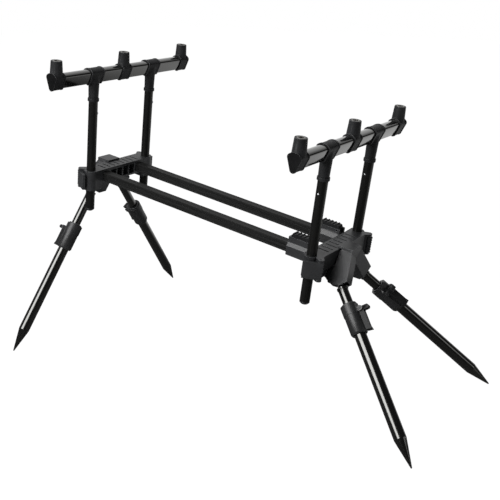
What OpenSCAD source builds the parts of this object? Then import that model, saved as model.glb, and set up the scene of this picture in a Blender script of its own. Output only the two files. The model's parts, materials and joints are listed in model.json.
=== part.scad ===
// Rod pod: two end bodies on telescopic rails, two buzz bars on sliding uprights, four splayed legs.
// X is the width along the buzz bars, Y the length along the rails, +Y the far end. Millimetres.
// The superstructure is laid out level in its own pod frame. The legs then set its pitch and height,
// so that all four spikes stand on the ground.

/* [Layout] */
// Distance between the upright planes of the two ends, rails closed
end_spacing = 468; // [440:1:560]
// Distance between the two uprights of one end
upright_spacing = 142; // [138:1:150]
// Distance between the axes of the two rails
rail_spacing = 86; // [84:1:90]

/* [Buzz bars] */
// Distance between neighbouring rod posts on the near bar
near_post_pitch = 150; // [140:1:190]
// Distance between neighbouring rod posts on the far bar
far_post_pitch = 156; // [140:1:190]
// Height of the near post tops above the rail axis
near_post_height = 211; // [190:1:240]
// Height of the far post tops above the rail axis
far_post_height = 218; // [190:1:240]
// Width of the bar section at its shoulders
bar_width = 18.5; // [17:0.5:22]
// Height of the bar section from crown to keel
bar_depth = 25; // [22:0.5:30]
// Rise of the crown above the shoulders
bar_crown = 2.5; // [2:0.5:4]
// Corner radius of the bar section
bar_corner = 3; // [3:0.5:4]
// Wall of the bar
bar_wall = 1.6; // [1:0.1:2.5]
// Length of the cap on each bar end
cap_length = 22; // [22:1:34]
// Length of the sleeve under the middle post
middle_length = 22; // [20:1:34]
// Length of the tee sleeve along the bar
tee_length = 30; // [26:1:44]
// Wall of the caps and sleeves
sleeve_wall = 1.7; // [1.2:0.1:2.5]
// Height of a post above the crown of its sleeve
post_height = 20; // [19:1:34]
// Post diameter at the top
post_top_d = 18.6; // [17:0.2:22]
// Post diameter at the foot
post_foot_d = 21; // [19:0.2:22]
// Outer diameter of the threaded insert
insert_d = 13; // [12:0.5:15]
// Length of the threaded insert
insert_length = 17; // [12:1:20]
// Bore of the threaded insert, 3/8 inch alarm thread tapping size
thread_bore = 8.4; // [6:0.1:10]

/* [Uprights] */
// Outer diameter of the uprights
upright_d = 16; // [14:0.5:18]
// Wall of the uprights
upright_wall = 1.2; // [1:0.1:2]
// Length of an upright from its top end to the tip of its plug
upright_length = 205; // [170:1:230]
// Depth of the tee socket from the crown of the bar to its lower end
socket_drop = 51; // [46:1:64]
// Outer diameter of the tee socket at its lower end
socket_d = 17.2; // [16.6:0.2:19]
// Height of the ring between socket and upright
ring_height = 4; // [3:0.5:8]
// Outer diameter of the ring
ring_d = 19.6; // [19:0.2:24]
// Length of the spigot that enters the upright
spigot_length = 40; // [34:1:60]
// Drop of the snap button below the ring
button_drop = 22; // [14:1:26]
// Diameter of the snap button
button_d = 4.2; // [3.6:0.2:6]
// How far the snap button stands proud of the tube
button_proud = 1.3; // [1:0.1:1.8]

/* [Rails] */
// Width and height of the outer rails
rail_size = 16; // [15:0.5:17]
// Wall of the outer rails
rail_wall = 2; // [1.6:0.1:2.5]
// Length of the inner rails
inner_rail_length = 330; // [280:1:360]
// Length of the lock collar on the rail
rail_collar_length = 42; // [38:1:50]
// Gap between the lock collars and the near body, rails closed
rail_collar_gap = 2; // [2:0.5:10]

/* [End bodies] */
// Width of the body along the rails, inside the upright plane
body_in = 11; // [11:0.5:14]
// Width of the body along the rails, outside the upright plane
body_out = 18; // [15:0.5:20]
// Height of the top plate above the rail axis
body_top = 14; // [13:0.5:18]
// Depth of the rail block below the rail axis
body_low = 12; // [11:0.5:14]
// Wall of the clamps around the uprights
clamp_wall = 4; // [3.5:0.1:6]
// Length of the clamp lever paddle
paddle_length = 26; // [24:0.5:30]
// Height of the clamp lever paddle
paddle_height = 28; // [24:0.5:32]
// Thickness of the clamp lever paddle
paddle_thickness = 4.5; // [3.5:0.1:6]
// Turn of the paddle from the length direction, in plan
paddle_turn = 27; // [20:1:32]

/* [Legs] */
// Hinge height below the rail axis
hinge_drop = 28.5; // [28:0.5:34]
// Hinge distance out from the upright plane
hinge_out = 29.5; // [29:0.5:34]
// Distance between the two leg hinges of one end
hinge_spacing = 57; // [56:0.5:62]
// Tilt of the swing planes, which splays the legs
leg_tilt = 34.5; // [32:0.5:38]
// Outward swing of the near legs
near_swing = 46; // [30:1:52]
// Outward swing of the far legs
far_swing = 0; // [0:1:20]
// Near leg opening: hinge to the top of the lock collar
near_leg_open = 47; // [30:1:100]
// Far leg opening: hinge to the top of the lock collar
far_leg_open = 85; // [60:1:130]
// Length from the top of the lock collar to the tip of the spike
foot_length = 258; // [250:1:320]
// Length of the spike
spike_length = 43; // [30:1:60]
// Radius of the spike tip
spike_tip_r = 1.2; // [0.8:0.1:2]
// Outer diameter of the inner leg tube
inner_leg_d = 16; // [14:0.5:17]
// Wall of the inner leg tube
inner_leg_wall = 1.2; // [1:0.1:2]
// Length of the inner leg tube
inner_leg_length = 188; // [160:1:190]
// Outer diameter of the outer leg tube
outer_leg_d = 19; // [18.5:0.5:22]
// Length of the leg lock collar
leg_collar_length = 51; // [48:1:60]
// Outer diameter of the leg lock collar
leg_collar_d = 27; // [26:0.5:32]
// Largest outward swing that the housing lets through
swing_stop = 54; // [52:1:56]
// Thickness of a leg housing
housing_width = 24; // [22:0.5:28]
// Width of the hinge eye
eye_width = 13; // [10:0.5:14]
// Radius of the hinge eye
eye_r = 9; // [8:0.5:9.5]
// Diameter of the leg hinge pin
leg_pin_d = 6; // [4:0.5:7]

/* [Fits] */
// Radial play of a pin or of a press-in plug
pin_play = 0.05; // [0.02:0.01:0.1]
// Play of a sliding tube or rail, each side
slide_play = 0.3; // [0.15:0.05:0.4]
// Play of an upright in its clamp, each side
clamp_play = 0.1; // [0.05:0.01:0.2]
// Clearance between pieces that swing past each other
swing_gap = 0.5; // [0.3:0.1:0.8]

/* [Hidden] */
$fn = 48;
NEAR = -1;
FAR = 1;
LEFT = -1;
RIGHT = 1;
// Run-out of a cutter beyond the face it cuts
cut = 1;
// Flats lie this far inside the arcs' tangents, so that flat and arc cross at a clear angle
arc_lap = 0.03;

moulding = [0.16, 0.16, 0.165];
tube_black = [0.07, 0.07, 0.075];
bar_black = [0.09, 0.09, 0.09];
bright_steel = [0.75, 0.75, 0.76];
plated_steel = [0.6, 0.6, 0.58];

// Leg tips and the stance of the pod
hinge = [hinge_spacing / 2, hinge_out, -hinge_drop];
function swing(e) = e == NEAR ? near_swing : far_swing;
function leg_open(e) = e == NEAR ? near_leg_open : far_leg_open;
function leg_dir(a) = [cos(a) * sin(leg_tilt), sin(a), -cos(a) * cos(leg_tilt)];
function tip_in_end(e) = hinge + (leg_open(e) + foot_length - spike_tip_r) * leg_dir(swing(e));
function tip_y(e) = e * (end_spacing / 2 + tip_in_end(e)[1]);
function tip_z(e) = tip_in_end(e)[2];
pod_pitch = atan2(tip_z(NEAR) - tip_z(FAR), tip_y(FAR) - tip_y(NEAR));
function ground_y(e) = tip_y(e) * cos(pod_pitch) - tip_z(e) * sin(pod_pitch);
function ground_z(e) = tip_y(e) * sin(pod_pitch) + tip_z(e) * cos(pod_pitch);
pod_shift = [0, -(ground_y(NEAR) + ground_y(FAR)) / 2, spike_tip_r - ground_z(FAR)];

// Bar section: shoulder centres on the crown's arc, keel centre below
shoulder_x = bar_width / 2 - bar_corner;
crown_r = (shoulder_x * shoulder_x + bar_crown * bar_crown) / (2 * bar_crown);
keel_z = -(bar_depth - bar_crown - 2 * bar_corner);
bar_top = bar_crown + bar_corner;
sleeve_play = 0.1;
sleeve_grow = sleeve_play + sleeve_wall;
function post_pitch(e) = e == NEAR ? near_post_pitch : far_post_pitch;
function post_top(e) = e == NEAR ? near_post_height : far_post_height;
function bar_z(e) = post_top(e) - post_height - sleeve_grow - bar_top;
function bar_length(e) = 2 * post_pitch(e) + cap_length - 2 * sleeve_grow;
lip_length = 2.5;
lip_rise = 0.6;

// Upright stack, measured from the bar section's own level
upright_r = upright_d / 2;
upright_bore_r = upright_r - upright_wall;
spigot_r = upright_bore_r - pin_play;
ring_skirt = 1;
plug_dome = 4;
plug_rim = 2;
plug_depth = 12;
function socket_z(e) = bar_z(e) + bar_top - socket_drop;
function upright_top(e) = socket_z(e) - ring_height;
function upright_low(e) = upright_top(e) - upright_length + plug_dome + plug_rim;
function button_z(e) = upright_top(e) - button_drop;
function button_turn(e) = e == NEAR ? 180 : -60;
button_r = button_d / 2;
button_flange_r = button_r + 0.9;
button_flange_high = sqrt(pow(upright_bore_r, 2) - pow(button_flange_r, 2)) - swing_gap;
button_flange_low = button_flange_high - 1.8;
button_travel = 2;
socket_top = -4;

// Rails, collars and their levers
rail_bore = rail_size - 2 * rail_wall;
inner_rail = rail_bore - 2 * slide_play;
rail_x = rail_spacing / 2;
socket_depth = 16;
collar_face = body_in + rail_collar_gap;
collar_nose = 10;
rail_end = collar_face + collar_nose;
collar_side = 4.6;
collar_base = 2.2;
collar_roof = 4;
collar_half = rail_size / 2 + collar_side;
collar_low = rail_size / 2 + collar_base;
collar_shoulder = rail_size / 2 - 3;
collar_bevel = 5.5;
pocket_floor = rail_size / 2 + collar_roof;
cheek_height = 8;
cheek_top = pocket_floor + cheek_height;
cheek_wall = 1.9;
rail_lever_width = 13;
cheek_half = rail_lever_width / 2 + swing_gap + cheek_wall;
frame_wall = 2.5;
rail_pin_r = 1.5;
rail_pin_in = 6;
rail_pin_rise = 5.5;
rail_pin_z = pocket_floor + rail_pin_rise;
rail_pin_length = 2 * cheek_half;
rail_lever_rise = 5;
rail_lever_low = pocket_floor + 2 * swing_gap;
rail_lever_high = cheek_top + rail_lever_rise;

// End body
upright_x = upright_spacing / 2;
clamp_r = upright_r + clamp_wall;
paddle_out = [cos(paddle_turn), sin(paddle_turn)];
paddle_along = [-sin(paddle_turn), cos(paddle_turn)];
paddle_face = clamp_r + swing_gap;
cam_r = 4.2;
clamp_pin_r = 1.6;
clamp_pin_along = 15.6;
clamp_pin_in = 1;
clamp_pin_at = [upright_x, 0] + (paddle_face + clamp_pin_in) * paddle_out + clamp_pin_along * paddle_along;
paddle_over = 5;
paddle_room_r = norm([paddle_thickness, paddle_over]) + swing_gap;
upper_ear = 4.5;
lower_ear = 2.5;
paddle_top = body_top - upper_ear - swing_gap;
paddle_low = paddle_top - paddle_height;
clamp_low = lower_ear + swing_gap - paddle_low;
boss_wall = 0.8;
boss_r = cam_r + boss_wall;

slot_margin_out = 5;

// Leg housing outline in its swing plane: outward, up
housing_top = 45;
housing_nose = 8.5;
housing_heel = 20.5;
housing_outline = [
    [-8, housing_top], [housing_nose, housing_top], [20.5, -2], [11, -12.5],
    [-8, -14], [-housing_heel, -6], [-housing_heel, 12]
];
slot_half = eye_width / 2 + swing_gap;
shoulder_at = 18;
shoulder_length = 3.5;
shoulder_r = inner_leg_d / 2 + 1;
neck_r = 6.2;
knuckle_plug = 22;

// Leg foot
outer_leg_r = outer_leg_d / 2;
outer_leg_bore_r = inner_leg_d / 2 + slide_play;
leg_collar_r = leg_collar_d / 2;
outer_tube_at = 20;
lever_pin_r = 1.5;
lever_pin_z = 15;
lever_pin_out = 2.5;
lever_pin_y = leg_collar_r + lever_pin_out;
lever_width = 13;
ear_thickness = 3;
lever_tab = 13;
tab_half = 3.3;
lever_cam_r = 3.8;
lever_pocket_depth = 1.5;
lever_inner = leg_collar_r - lever_pocket_depth;
ear_half = lever_width / 2 + swing_gap + ear_thickness;
spike_plug = 20;

// Frames

module pod_frame() {
    translate(pod_shift) rotate([pod_pitch, 0, 0]) children();
}

module facing(e) {
    if (e == FAR) children();
    else mirror([0, 1, 0]) children();
}

module on_side(s) {
    if (s == RIGHT) children();
    else mirror([1, 0, 0]) children();
}

module both_sides() {
    children();
    mirror([1, 0, 0]) children();
}

// Origin midway between the uprights at rail height, +Y outward
module end_frame(e) {
    pod_frame() translate([0, e * end_spacing / 2, 0]) facing(e) children();
}

// Leg hinge of the right side: X along the pin, Y outward, Z up the housing
module hinge_frame() {
    translate(hinge) rotate([0, -leg_tilt, 0]) children();
}

// Origin at the hinge, +Z down the leg, -Y on the lever side
module leg_frame(e, s) {
    end_frame(e) on_side(s) hinge_frame() rotate([swing(e) + 180, 0, 0]) children();
}

// Origin at the top of the lock collar
module foot_frame(e, s) {
    leg_frame(e, s) translate([0, 0, leg_open(e)]) children();
}

// Bar frame of one end, at the level of the shoulder centres
module bar_frame(e) {
    end_frame(e) translate([0, 0, bar_z(e)]) children();
}

// Basic forms

module tube(r, wall, length) {
    difference() {
        cylinder(r = r, h = length);
        translate([0, 0, -cut]) cylinder(r = r - wall, h = length + 2 * cut);
    }
}

// Cylinder along X, centred
module cross_cylinder(r, length) {
    rotate([0, 90, 0]) cylinder(r = r, h = length, center = true);
}

// Outline in Y and Z, drawn out along X and centred
module cross_extrude(length) {
    rotate([90, 0, 90]) linear_extrude(height = length, center = true) children();
}

// Square section along Y from y0 to y1
module square_bar(size, y0, y1) {
    translate([-size / 2, y0, -size / 2]) cube([size, y1 - y0, size]);
}

// Unit normal to the right of the line from a to b
function edge_normal(a, b) = [b[1] - a[1], a[0] - b[0]] / norm(b - a);

// Straight-sided convex outline with round corners; points run counter-clockwise
module rounded_outline(points, r) {
    count = len(points);
    polygon([
        for (i = [0 : count - 1], end = [0, 1])
            let (a = points[i], b = points[(i + 1) % count])
                (end == 0 ? a : b) + (r - arc_lap) * edge_normal(a, b)
    ]);
    for (p = points) translate(p) circle(r = r);
}

// Bar section, grown all round
module bar_section(grow) {
    r = bar_corner + grow;
    reach = 2 * (crown_r + r);
    crown_z = bar_crown - crown_r;
    rounded_outline([[-shoulder_x, 0], [0, keel_z], [shoulder_x, 0]], r);
    translate([0, crown_z]) intersection() {
        circle(r = crown_r + r - arc_lap);
        polygon([[0, 0], reach * [shoulder_x, -crown_z], reach * [-shoulder_x, -crown_z]]);
    }
}

// Buzz bar pieces

module buzz_bar(e) {
    color(bar_black) bar_frame(e) cross_extrude(bar_length(e)) difference() {
        bar_section(0);
        bar_section(-bar_wall);
    }
}

module bar_sleeve(length) {
    cross_extrude(length) bar_section(sleeve_grow);
    for (side = [LEFT, RIGHT])
        translate([side * (length - lip_length) / 2, 0, 0])
            cross_extrude(lip_length) bar_section(sleeve_grow + lip_rise);
}

module bar_passage(length) {
    cross_extrude(length) bar_section(sleeve_play);
}

// Tapered post on the crown, with the seat for its insert
module post_shape() {
    sink = 8;
    slope = (post_foot_d - post_top_d) / 2 / post_height;
    translate([0, 0, bar_top + sleeve_grow - sink])
        cylinder(r1 = post_foot_d / 2 + slope * sink, r2 = post_top_d / 2, h = post_height + sink);
}

module insert_seat() {
    translate([0, 0, bar_top + sleeve_grow + post_height - insert_length])
        cylinder(r = insert_d / 2 + pin_play, h = insert_length + cut);
}

module end_posts(e) {
    color(moulding) bar_frame(e) both_sides() translate([post_pitch(e), 0, 0]) difference() {
        union() {
            bar_sleeve(cap_length);
            post_shape();
        }
        translate([-sleeve_wall, 0, 0]) bar_passage(cap_length);
        insert_seat();
    }
}

module middle_post(e) {
    color(moulding) bar_frame(e) difference() {
        union() {
            bar_sleeve(middle_length);
            post_shape();
        }
        bar_passage(middle_length + 2 * cut);
        insert_seat();
    }
}

module thread_inserts(e) {
    color(plated_steel) bar_frame(e) for (side = [-1, 0, 1])
        translate([side * post_pitch(e), 0, bar_top + sleeve_grow + post_height - insert_length])
            tube(insert_d / 2, (insert_d - thread_bore) / 2, insert_length);
}

module button_bore(e, r, from, to) {
    translate([0, 0, button_z(e)]) rotate([0, 0, button_turn(e)]) rotate([0, 90, 0])
        translate([0, 0, from]) cylinder(r = r, h = to - from);
}

// Button direction is the same for both uprights of an end, so it is drawn unmirrored
module at_uprights(e) {
    pod_frame() for (side = [LEFT, RIGHT])
        translate([side * upright_x, e * end_spacing / 2, 0]) children();
}

module tees(e) {
    socket_flare = 1.2;
    socket_height = socket_drop - bar_top + socket_top;
    color(moulding) at_uprights(e) difference() {
        union() {
            translate([0, 0, bar_z(e)]) bar_sleeve(tee_length);
            translate([0, 0, socket_z(e)])
                cylinder(r1 = socket_d / 2, r2 = socket_d / 2 + socket_flare, h = socket_height);
            translate([0, 0, upright_top(e) - spigot_length])
                cylinder(r = spigot_r, h = spigot_length + ring_height + cut);
        }
        translate([0, 0, bar_z(e)]) bar_passage(tee_length + 2 * cut);
        button_bore(e, button_flange_r + pin_play, button_flange_low - button_travel - swing_gap, upright_d);
    }
}

// Upright pieces

module uprights(e) {
    color(tube_black) at_uprights(e) difference() {
        translate([0, 0, upright_low(e)])
            tube(upright_r, upright_wall, upright_top(e) - upright_low(e));
        button_bore(e, button_r + pin_play, 0, upright_d);
    }
}

module upright_ring(e) {
    translate([0, 0, upright_top(e)]) difference() {
        translate([0, 0, -ring_skirt]) cylinder(r = ring_d / 2, h = ring_height + ring_skirt);
        translate([0, 0, -cut]) cylinder(r = spigot_r + pin_play, h = ring_height + 2 * cut);
        translate([0, 0, -ring_skirt - cut]) cylinder(r = upright_r + pin_play, h = ring_skirt + cut);
    }
}

module upright_plug(e) {
    dome_r = (upright_r * upright_r + plug_dome * plug_dome) / (2 * plug_dome);
    translate([0, 0, upright_low(e)]) {
        translate([0, 0, -plug_rim]) cylinder(r = upright_r, h = plug_rim);
        cylinder(r = spigot_r, h = plug_depth);
        translate([0, 0, -plug_rim]) intersection() {
            translate([0, 0, dome_r - plug_dome]) sphere(r = dome_r);
            translate([0, 0, -plug_dome]) cylinder(r = upright_r, h = plug_dome);
        }
    }
}

module upright_fittings(e) {
    color(moulding) at_uprights(e) {
        upright_ring(e);
        upright_plug(e);
    }
}

module snap_button(e, s) {
    head_dome = 1;
    dome_r = (button_r * button_r + head_dome * head_dome) / (2 * head_dome);
    head_end = upright_r + button_proud;
    color(bright_steel) pod_frame() translate([s * upright_x, e * end_spacing / 2, button_z(e)])
        rotate([0, 0, button_turn(e)]) rotate([0, 90, 0]) {
            translate([0, 0, button_flange_low])
                cylinder(r = button_flange_r, h = button_flange_high - button_flange_low);
            translate([0, 0, button_flange_high])
                cylinder(r = button_r, h = head_end - head_dome - button_flange_high);
            translate([0, 0, head_end - head_dome]) intersection() {
                translate([0, 0, head_dome - dome_r]) sphere(r = dome_r);
                cylinder(r = button_r, h = head_dome);
            }
        }
}

// Rail pieces; the far end of the pod is at +Y

module grooved_section() {
    groove = 2.4;
    groove_depth = 0.8;
    groove_z = 3.4;
    corner = 1.2;
    half = rail_size / 2 - corner;
    difference() {
        rounded_outline([[-half, half], [-half, -half], [half, -half], [half, half]], corner);
        square(rail_bore, center = true);
        for (side = [LEFT, RIGHT], z = [-groove_z, groove_z])
            translate([side * rail_size / 2, z]) square([2 * groove_depth, groove], center = true);
    }
}

module outer_rails() {
    from = -end_spacing / 2 + rail_end;
    to = end_spacing / 2 - body_in + socket_depth;
    color(bar_black) pod_frame() both_sides() translate([rail_x, to, 0])
        rotate([90, 0, 0]) linear_extrude(height = to - from) grooved_section();
}

module inner_rails() {
    from = -end_spacing / 2 + body_in - socket_depth;
    color(bar_black) pod_frame() both_sides() translate([rail_x, 0, 0]) difference() {
        square_bar(inner_rail, from, from + inner_rail_length);
        square_bar(inner_rail - 2 * rail_wall, from - cut, from + inner_rail_length + cut);
    }
}

// Collar frame: origin on the rail axis at the collar's near face, +Y along the rail to the far end
module collar_frame(s) {
    pod_frame() on_side(s) translate([rail_x, -end_spacing / 2 + collar_face, 0]) children();
}

module collar_section() {
    polygon([
        [-collar_half, -collar_low], [collar_half, -collar_low], [collar_half, collar_shoulder],
        [cheek_half, collar_shoulder + collar_bevel], [cheek_half, cheek_top], [-cheek_half, cheek_top],
        [-cheek_half, collar_shoulder + collar_bevel], [-collar_half, collar_shoulder]
    ]);
}

// Block round both rails, with a frame on top that holds the lever between two cheeks
module rail_collar() {
    pocket_half = rail_lever_width / 2 + swing_gap;
    pocket_end = rail_collar_length - frame_wall;
    difference() {
        translate([0, rail_collar_length, 0]) rotate([90, 0, 0])
            linear_extrude(height = rail_collar_length) collar_section();
        square_bar(rail_size + 2 * pin_play, collar_nose, rail_collar_length + cut);
        square_bar(inner_rail + 2 * slide_play, -cut, collar_nose + cut);
        translate([-pocket_half, -cut, pocket_floor])
            cube([2 * pocket_half, pocket_end + cut, cheek_top]);
        translate([0, rail_pin_in, rail_pin_z]) cross_cylinder(rail_pin_r + pin_play, 2 * collar_half);
    }
}

module rail_collars() {
    color(moulding) for (s = [LEFT, RIGHT]) collar_frame(s) rail_collar();
}

module rail_lever_pins() {
    color(bright_steel) for (s = [LEFT, RIGHT])
        collar_frame(s) translate([0, rail_pin_in, rail_pin_z]) cross_cylinder(rail_pin_r, rail_pin_length);
}

// Lever between the cheeks, hinged at the near face, with grip ribs on top
module rail_lever(s) {
    tip = rail_collar_length - frame_wall - swing_gap;
    heel = 2.5;
    heel_bevel = 1.3;
    rib_r = 1.5;
    rib_pitch = 6.4;
    first_rib = rail_pin_in + 4;
    color(moulding) collar_frame(s) difference() {
        union() {
            cross_extrude(rail_lever_width) polygon([
                [heel, rail_lever_low + heel_bevel], [heel + heel_bevel, rail_lever_low],
                [tip, rail_lever_low], [tip, rail_lever_high - heel], [tip - heel, rail_lever_high],
                [2 * heel, rail_lever_high], [heel, rail_lever_high - 2 * heel]
            ]);
            for (y = [first_rib : rib_pitch : tip - heel])
                translate([0, y, rail_lever_high]) cross_cylinder(rib_r, rail_lever_width);
        }
        translate([0, rail_pin_in, rail_pin_z])
            cross_cylinder(rail_pin_r + pin_play, rail_lever_width + 2 * cut);
    }
}

// End body

// Rail block between the two clamps, let into their sleeves
module body_block() {
    lap = 4;
    half = upright_x - clamp_r + lap;
    translate([-half, -body_in, -body_low])
        cube([2 * half, body_in + body_out, body_low + body_top]);
}

// Sleeve round the upright, joined to the block by a bevelled web, with a boss for the lever pin
module upright_clamp() {
    web_lap = 6;
    web_in = upright_x - clamp_r - web_lap;
    web_out = upright_x + 2;
    web_back = 0.5 - clamp_r;
    bevel = 3;
    translate([0, 0, -clamp_low]) linear_extrude(height = clamp_low + body_top) {
        translate([upright_x, 0]) circle(r = clamp_r);
        polygon([
            [web_in, web_back + bevel], [web_in + bevel, web_back], [web_out - bevel, web_back],
            [web_out, web_back + bevel], [web_out, body_out - bevel], [web_out - bevel, body_out],
            [web_in, body_out]
        ]);
        boss_outline();
    }
}

module boss_outline() {
    root_half = 8;
    root_in = 4;
    root = [upright_x - root_in, body_out - root_half];
    tip_half = boss_r - arc_lap;
    along = (clamp_pin_at - root) / norm(clamp_pin_at - root);
    side = [-along[1], along[0]];
    translate(clamp_pin_at) circle(r = boss_r);
    polygon([
        root - root_half * side, clamp_pin_at - tip_half * side,
        clamp_pin_at + tip_half * side, root + root_half * side
    ]);
}

// Room for the paddle to lie against the sleeve and for its cam to turn
module lever_pocket() {
    tip_gap = 6;
    reach = 40;
    translate([0, 0, paddle_low - swing_gap]) linear_extrude(height = paddle_height + 2 * swing_gap)
        translate(clamp_pin_at) rotate(paddle_turn) {
            circle(r = paddle_room_r);
            translate([-swing_gap, -paddle_length - tip_gap])
                square([reach, paddle_length + tip_gap + reach]);
        }
    translate([clamp_pin_at[0], clamp_pin_at[1], -clamp_low - cut])
        cylinder(r = clamp_pin_r + pin_play, h = clamp_low + body_top + 2 * cut);
}

module upright_passage() {
    slit = 2;
    slit_turn = 62;
    translate([upright_x, 0, -clamp_low - cut])
        linear_extrude(height = clamp_low + body_top + 2 * cut) {
            circle(r = upright_r + clamp_play);
            rotate(slit_turn) translate([0, -slit / 2]) square([clamp_r + cut, slit]);
        }
}

// Housing whose outer cheek is cut away behind the hinge eye, down to a rib at the heel
module leg_housing() {
    recess_lap = 1;
    recess_top = 30;
    rib = 3;
    rib_top = 9;
    reach = 40;
    hinge_frame() difference() {
        cross_extrude(housing_width) polygon(housing_outline);
        translate([slot_half - recess_lap + housing_width / 2, 0, 0]) cross_extrude(housing_width) polygon([
            [-eye_r, recess_top], [-reach, recess_top], [-reach, rib_top],
            [rib - housing_heel, rib_top], [rib - housing_heel, -reach], [-eye_r, -reach]
        ]);
    }
}

// Roof over the gable between the two housings, in front of the plate's slots, with a small overhang
module nose_cap() {
    proud = 1.4;
    flare = 1;
    drop = 3;
    back = body_out - slot_margin_out;
    half = hinge[0] - housing_top * sin(leg_tilt) + housing_width / 2 * cos(leg_tilt) + proud;
    top = hinge[2] + housing_top * cos(leg_tilt) + housing_width / 2 * sin(leg_tilt) + proud;
    length = hinge_out + housing_nose + proud;
    translate([0, length, 0]) rotate([90, 0, 0]) linear_extrude(height = length - back) polygon([
        [-half, top], [-half - flare, top - drop], [0, -body_low], [half + flare, top - drop], [half, top]
    ]);
}

// Swing room of the eye and neck between the housing cheeks
module leg_slot() {
    room = eye_r + swing_gap;
    far_reach = 60;
    stop_dir = [sin(swing_stop), -cos(swing_stop)];
    stop_side = [cos(swing_stop), sin(swing_stop)];
    hinge_frame() {
        cross_cylinder(room, 2 * slot_half);
        cross_extrude(2 * slot_half) polygon([
            [-room, 0], [-room, -far_reach], [far_reach, -far_reach],
            room * stop_side + far_reach * stop_dir, room * stop_side
        ]);
        leg_pin_shape(leg_pin_d / 2 + pin_play, pin_play);
    }
}

// Hinge pin from the inner cheek to a blind end behind the outer face
module leg_pin_shape(r, longer) {
    blind = 3;
    translate([-housing_width / 2 - longer, 0, 0]) rotate([0, 90, 0])
        cylinder(r = r, h = housing_width - blind + 2 * longer);
}

module plate_slots() {
    count = 8;
    pitch = 12;
    width = 3;
    depth = 1.6;
    margin_in = 4;
    length = body_in + body_out - margin_in - slot_margin_out;
    for (i = [0 : count - 1])
        translate([(i - (count - 1) / 2) * pitch - width / 2, -body_in + margin_in, body_top - depth])
            cube([width, length, depth + cut]);
}

// Open moulded cells on the inner face between the rails
module body_cells() {
    count = 4;
    rib = 2;
    rail_side = 4;
    floor = 3;
    roof = 5;
    span = rail_spacing - rail_size - 2 * rail_side;
    cell = (span - (count - 1) * rib) / count;
    behind = 6;
    depth = body_in + behind;
    for (i = [0 : count - 1])
        translate([-span / 2 + i * (cell + rib), -body_in - cut, -body_low + floor])
            cube([cell, depth + cut, body_low + body_top - floor - roof]);
}

module end_body(e, socket) {
    color(moulding) end_frame(e) difference() {
        union() {
            body_block();
            both_sides() {
                upright_clamp();
                leg_housing();
            }
            nose_cap();
        }
        plate_slots();
        body_cells();
        both_sides() {
            upright_passage();
            lever_pocket();
            leg_slot();
            translate([rail_x, 0, 0])
                square_bar(socket + 2 * pin_play, -body_in - cut, -body_in + socket_depth);
        }
    }
}

// Smooth paddle with grip notches across its outer end
module clamp_lever(e, s) {
    notch_count = 6;
    notch_r = 1.1;
    notch_pitch = paddle_height / (notch_count + 1);
    color(moulding) end_frame(e) on_side(s) translate([0, 0, paddle_low]) translate(clamp_pin_at)
        rotate([0, 0, paddle_turn]) difference() {
            union() {
                cylinder(r = cam_r, h = paddle_height);
                translate([0, -paddle_length, 0])
                    cube([paddle_thickness, paddle_length + paddle_over, paddle_height]);
            }
            for (i = [1 : notch_count])
                translate([0, paddle_over, i * notch_pitch]) cross_cylinder(notch_r, 4 * paddle_thickness);
            translate([0, 0, -cut]) cylinder(r = clamp_pin_r + pin_play, h = paddle_height + 2 * cut);
        }
}

module hinge_pins(e) {
    color(bright_steel) end_frame(e) both_sides() {
        translate([clamp_pin_at[0], clamp_pin_at[1], -clamp_low])
            cylinder(r = clamp_pin_r, h = clamp_low + body_top);
        hinge_frame() leg_pin_shape(leg_pin_d / 2, 0);
    }
}

// Leg pieces

module knuckle(e, s) {
    tube_bore_r = inner_leg_d / 2 - inner_leg_wall;
    color(moulding) leg_frame(e, s) difference() {
        union() {
            cross_cylinder(eye_r, eye_width);
            cylinder(r = neck_r, h = shoulder_at);
            translate([0, 0, shoulder_at]) cylinder(r = shoulder_r, h = shoulder_length);
            translate([0, 0, shoulder_at])
                cylinder(r = tube_bore_r - pin_play, h = shoulder_length + knuckle_plug);
        }
        cross_cylinder(leg_pin_d / 2 + pin_play, eye_width + 2 * cut);
    }
}

module inner_tube(e, s) {
    color(tube_black) leg_frame(e, s) translate([0, 0, shoulder_at + shoulder_length])
        tube(inner_leg_d / 2, inner_leg_wall, inner_leg_length);
}

module outer_tube(e, s) {
    color(tube_black) foot_frame(e, s) translate([0, 0, outer_tube_at])
        tube(outer_leg_r, outer_leg_r - outer_leg_bore_r, foot_length - spike_length - outer_tube_at);
}

// Barrel with a wider head; two ears carry the lever pin on the -Y side
module lock_collar(e, s) {
    head_rise = 0.7;
    neck = 2;
    head_r = leg_collar_r + head_rise;
    head_end = 19;
    chamfer = 3;
    ear_r = 4;
    color(moulding) foot_frame(e, s) difference() {
        union() {
            cylinder(r = leg_collar_r - neck, h = neck);
            translate([0, 0, neck]) cylinder(r = head_r, h = head_end - neck);
            translate([0, 0, head_end])
                cylinder(r = leg_collar_r, h = leg_collar_length - chamfer - head_end);
            translate([0, 0, leg_collar_length - chamfer])
                cylinder(r1 = leg_collar_r, r2 = leg_collar_r - chamfer / 2, h = chamfer);
            translate([0, -lever_pin_y, lever_pin_z]) cross_cylinder(ear_r, 2 * ear_half);
            translate([-ear_half, -lever_pin_y, lever_pin_z - ear_r])
                cube([2 * ear_half, lever_pin_y, 2 * ear_r]);
        }
        translate([0, 0, -cut]) cylinder(r = inner_leg_d / 2 + slide_play, h = leg_collar_length + 2 * cut);
        translate([0, 0, outer_tube_at]) cylinder(r = outer_leg_r + pin_play, h = leg_collar_length);
        lever_room();
        translate([0, -lever_pin_y, lever_pin_z])
            cross_cylinder(lever_pin_r + pin_play, 2 * ear_half + 2 * cut);
    }
}

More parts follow.
